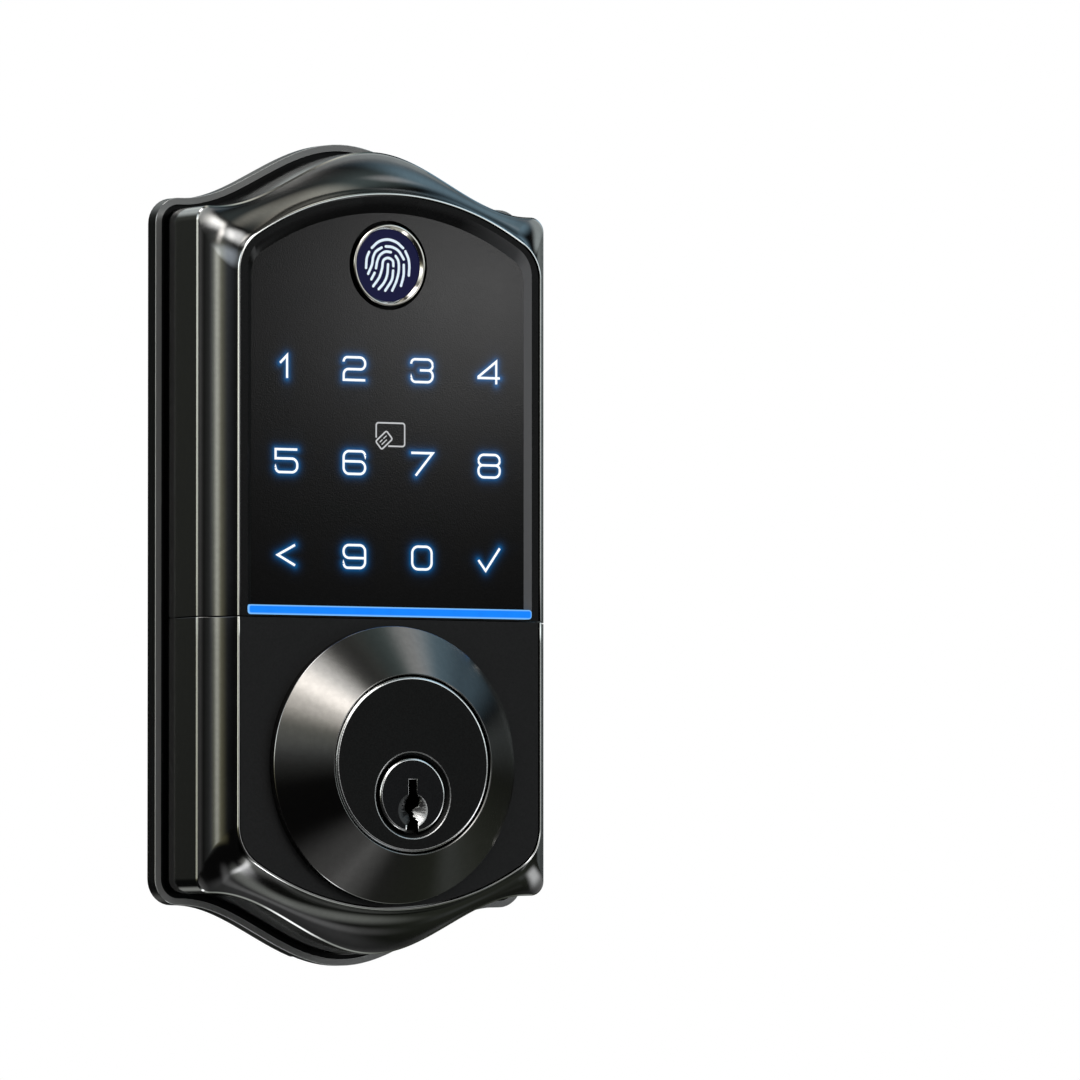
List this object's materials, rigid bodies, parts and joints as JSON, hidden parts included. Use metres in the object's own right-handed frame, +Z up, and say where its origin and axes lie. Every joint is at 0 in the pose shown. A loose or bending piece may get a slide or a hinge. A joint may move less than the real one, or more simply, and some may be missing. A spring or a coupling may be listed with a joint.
{
  "type": "keypad smart lock",
  "caption": "Outdoor half of a keypad deadbolt lock with an arched touch panel, a fingerprint reader and a keyed cylinder in a cone-shaped collar.",
  "frame": {"origin": "key plug's axis at the door's outside face", "axes": "+X right, +Y into the door, +Z up, seen from outside"},
  "size_m": [0.0794, 0.0898, 0.155],
  "materials": {
    "shell_metal": "glossy black nickel plate on a zinc casting",
    "collar_metal": "satin black nickel plate",
    "plate_metal": "satin dark grey paint",
    "matte_black": "fine matte black",
    "cylinder_metal": "matte black coating on brass",
    "plug_metal": "matte black coating on brass",
    "panel": "satin dark touch panel",
    "light_bar": "lit blue light guide",
    "diffuser": "translucent white",
    "led": "moulded lamp",
    "circuit_board": "solder mask",
    "chip": "moulded black",
    "copper": "copper foil",
    "ring_metal": "polished",
    "sensor_face": "smooth navy",
    "steel": "bright zinc plate",
    "brass": "plain brass",
    "connector": "natural nylon",
    "rubber": "black rubber"
  },
  "bodies": {
    "lock_body": {"door_gasket": "rubber", "back_plate": "plate_metal", "upper_housing": "shell_metal", "lower_housing": "shell_metal", "keypad_frame": "matte_black", "keypad_seal": "rubber", "touch_panel": "panel", "status_light_bar": "light_bar", "key_light_guide": "diffuser", "key_leds": "led", "light_bar_leds": "led", "touch_board": "circuit_board", "touch_controller": "chip", "rfid_antenna": "copper", "fingerprint_ring": "ring_metal", "fingerprint_sensor": "sensor_face", "fingerprint_board": "circuit_board", "lower_face_plate": "matte_black", "lower_plate_seal": "rubber", "cylinder_collar": "collar_metal", "collar_nut": "steel", "cylinder_housing": "cylinder_metal", "driver_pins": "steel", "pin_springs": "steel", "pin_chamber_cap": "brass", "mounting_posts": "steel", "cable_grommet": "rubber", "main_board": "circuit_board", "main_processor": "chip", "buzzer": "chip", "board_connector": "connector", "board_header": "chip", "usb_port": "steel", "port_board": "circuit_board", "housing_screws": "steel", "board_screws": "steel", "cylinder_screws": "steel"},
    "key_plug": {"cylinder_plug": "plug_metal", "key_pins": "brass", "plug_retainer": "brass"},
    "tailpiece": {"tailpiece": "steel"},
    "port_cover": {"port_cover": "rubber"}
  },
  "joints": [
    {"name": "plug_turn", "type": "hinge", "parent": "lock_body", "child": "key_plug", "pos_m": [0, 0, 0], "axis": [0, 1, 0], "range_deg": [-90, 90]},
    {"name": "tailpiece_free_play", "type": "hinge", "parent": "key_plug", "child": "tailpiece", "pos_m": [0, 0, 0], "axis": [0, 1, 0], "range_deg": [0, 90]},
    {"name": "port_cover_hinge", "type": "hinge", "parent": "lock_body", "child": "port_cover", "pos_m": [0, -0.0076, -0.028], "axis": [1, 0, 0], "range_deg": [0, 95]}
  ]
}
